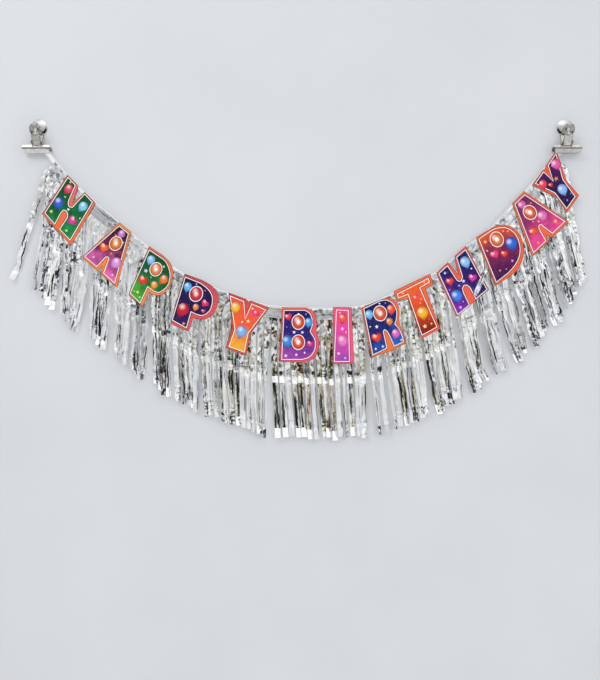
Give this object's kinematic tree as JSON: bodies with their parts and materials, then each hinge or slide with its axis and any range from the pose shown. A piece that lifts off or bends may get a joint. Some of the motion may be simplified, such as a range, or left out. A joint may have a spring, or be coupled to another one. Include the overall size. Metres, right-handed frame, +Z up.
{
  "type": "letter banner",
  "caption": "Printed card letters on a white ribbon with a slit silver film fringe behind them, hung on a wall from spring clips.",
  "frame": {"origin": "on the wall, midway between the ears of the two clips", "axes": "+Z up, +X to the reader's right, -Y out of the wall towards the reader"},
  "size_m": [1.4553, 0.0334, 0.805],
  "materials": {
    "white_satin": "white satin ribbon",
    "silver_film": "metallised film, mirror silver",
    "white_foam": "white adhesive foam",
    "nickel_plate": "bright nickel plate",
    "spring_wire": "bright drawn wire",
    "print_letter_01_h": "glossy printed card",
    "print_letter_02_a": "glossy printed card",
    "print_letter_03_p": "glossy printed card",
    "print_letter_04_p": "glossy printed card",
    "print_letter_05_y": "glossy printed card",
    "print_letter_06_b": "glossy printed card",
    "print_letter_07_i": "glossy printed card",
    "print_letter_08_r": "glossy printed card",
    "print_letter_09_t": "glossy printed card",
    "print_letter_10_h": "glossy printed card",
    "print_letter_11_d": "glossy printed card",
    "print_letter_12_a": "glossy printed card",
    "print_letter_13_y": "glossy printed card"
  },
  "bodies": {
    "banner": {"foil_header": "silver_film", "fringe_bunch_02": "silver_film", "fringe_bunch_03": "silver_film", "fringe_bunch_04": "silver_film", "fringe_bunch_05": "silver_film", "fringe_bunch_06": "silver_film", "fringe_bunch_07": "silver_film", "fringe_bunch_08": "silver_film", "fringe_bunch_09": "silver_film", "fringe_bunch_10": "silver_film", "fringe_bunch_11": "silver_film", "fringe_bunch_12": "silver_film", "fringe_bunch_13": "silver_film", "fringe_bunch_14": "silver_film", "left_clip_pin": "spring_wire", "left_clip_rear_plate": "nickel_plate", "left_clip_spring": "spring_wire", "letter_13_y": "print_letter_13_y", "letter_13_y_pad_a": "white_foam", "letter_13_y_pad_b": "white_foam", "ribbon": "white_satin", "right_clip_pin": "spring_wire", "right_clip_rear_plate": "nickel_plate", "right_clip_spring": "spring_wire"},
    "bunch_01": {"fringe_bunch_01": "silver_film"},
    "left_clip_front": {"left_clip_front_plate": "nickel_plate"},
    "letter_01_h": {"letter_01_h": "print_letter_01_h", "letter_01_h_pad_a": "white_foam", "letter_01_h_pad_b": "white_foam"},
    "letter_02_a": {"letter_02_a": "print_letter_02_a", "letter_02_a_pad_a": "white_foam"},
    "letter_03_p": {"letter_03_p": "print_letter_03_p", "letter_03_p_pad_a": "white_foam"},
    "letter_04_p": {"letter_04_p": "print_letter_04_p", "letter_04_p_pad_a": "white_foam"},
    "letter_05_y": {"letter_05_y": "print_letter_05_y", "letter_05_y_pad_a": "white_foam", "letter_05_y_pad_b": "white_foam"},
    "letter_06_b": {"letter_06_b": "print_letter_06_b", "letter_06_b_pad_a": "white_foam"},
    "letter_07_i": {"letter_07_i": "print_letter_07_i", "letter_07_i_pad_a": "white_foam"},
    "letter_08_r": {"letter_08_r": "print_letter_08_r", "letter_08_r_pad_a": "white_foam"},
    "letter_09_t": {"letter_09_t": "print_letter_09_t", "letter_09_t_pad_a": "white_foam"},
    "letter_10_h": {"letter_10_h": "print_letter_10_h", "letter_10_h_pad_a": "white_foam", "letter_10_h_pad_b": "white_foam"},
    "letter_11_d": {"letter_11_d": "print_letter_11_d", "letter_11_d_pad_a": "white_foam"},
    "letter_12_a": {"letter_12_a": "print_letter_12_a", "letter_12_a_pad_a": "white_foam"},
    "right_clip_front": {"right_clip_front_plate": "nickel_plate"}
  },
  "joints": [
    {"name": "bunch_01_swing", "type": "hinge", "parent": "banner", "child": "bunch_01", "pos_m": [-0.63275, -0.01395, -0.11222], "axis": [-0.6023, 0, 0.7983], "range_deg": [0, 20]},
    {"name": "left_clip_open", "type": "hinge", "parent": "banner", "child": "left_clip_front", "pos_m": [-0.66275, -0.014, -0.042], "axis": [-1, 0, 0], "range_deg": [0, 30], "stiffness_Nm_per_rad": 0.1, "springref_deg": -28.65, "deforming": ["left_clip_spring"]},
    {"name": "letter_01_h_flap", "type": "hinge", "parent": "banner", "child": "letter_01_h", "pos_m": [-0.55073, -0.0141, -0.15744], "axis": [-0.7071, 0, 0.7071], "range_deg": [0, 70]},
    {"name": "letter_02_a_flap", "type": "hinge", "parent": "banner", "child": "letter_02_a", "pos_m": [-0.44125, -0.0141, -0.2531], "axis": [-0.7771, 0, 0.6293], "range_deg": [0, 70]},
    {"name": "letter_03_p_flap", "type": "hinge", "parent": "banner", "child": "letter_03_p", "pos_m": [-0.34568, -0.0141, -0.32426], "axis": [-0.8387, 0, 0.5446], "range_deg": [0, 70]},
    {"name": "letter_04_p_flap", "type": "hinge", "parent": "banner", "child": "letter_04_p", "pos_m": [-0.24609, -0.0141, -0.38634], "axis": [-0.9397, 0, 0.342], "range_deg": [0, 70]},
    {"name": "letter_05_y_flap", "type": "hinge", "parent": "banner", "child": "letter_05_y", "pos_m": [-0.13259, -0.0141, -0.43507], "axis": [-0.9397, 0, 0.342], "range_deg": [0, 70]},
    {"name": "letter_06_b_flap", "type": "hinge", "parent": "banner", "child": "letter_06_b", "pos_m": [-0.00441, -0.0141, -0.45382], "axis": [-0.9998, 0, 0.0175], "range_deg": [0, 70]},
    {"name": "letter_07_i_flap", "type": "hinge", "parent": "banner", "child": "letter_07_i", "pos_m": [0.10076, -0.0141, -0.45289], "axis": [-1, 0, 0], "range_deg": [0, 70]},
    {"name": "letter_08_r_flap", "type": "hinge", "parent": "banner", "child": "letter_08_r", "pos_m": [0.19175, -0.0141, -0.43599], "axis": [-0.9239, 0, -0.3827], "range_deg": [0, 70]},
    {"name": "letter_09_t_flap", "type": "hinge", "parent": "banner", "child": "letter_09_t", "pos_m": [0.27308, -0.0141, -0.39057], "axis": [-0.891, 0, -0.454], "range_deg": [0, 70]},
    {"name": "letter_10_h_flap", "type": "hinge", "parent": "banner", "child": "letter_10_h", "pos_m": [0.37222, -0.0141, -0.33323], "axis": [-0.7373, 0, -0.6756], "range_deg": [0, 70]},
    {"name": "letter_11_d_flap", "type": "hinge", "parent": "banner", "child": "letter_11_d", "pos_m": [0.47675, -0.0141, -0.25316], "axis": [-0.8572, 0, -0.515], "range_deg": [0, 70]},
    {"name": "letter_12_a_flap", "type": "hinge", "parent": "banner", "child": "letter_12_a", "pos_m": [0.53974, -0.0141, -0.17836], "axis": [-0.7009, 0, -0.7133], "range_deg": [0, 70]},
    {"name": "right_clip_open", "type": "hinge", "parent": "banner", "child": "right_clip_front", "pos_m": [0.66275, -0.014, -0.042], "axis": [-1, 0, 0], "range_deg": [0, 30], "stiffness_Nm_per_rad": 0.1, "springref_deg": -28.65, "deforming": ["right_clip_spring"]}
  ]
}
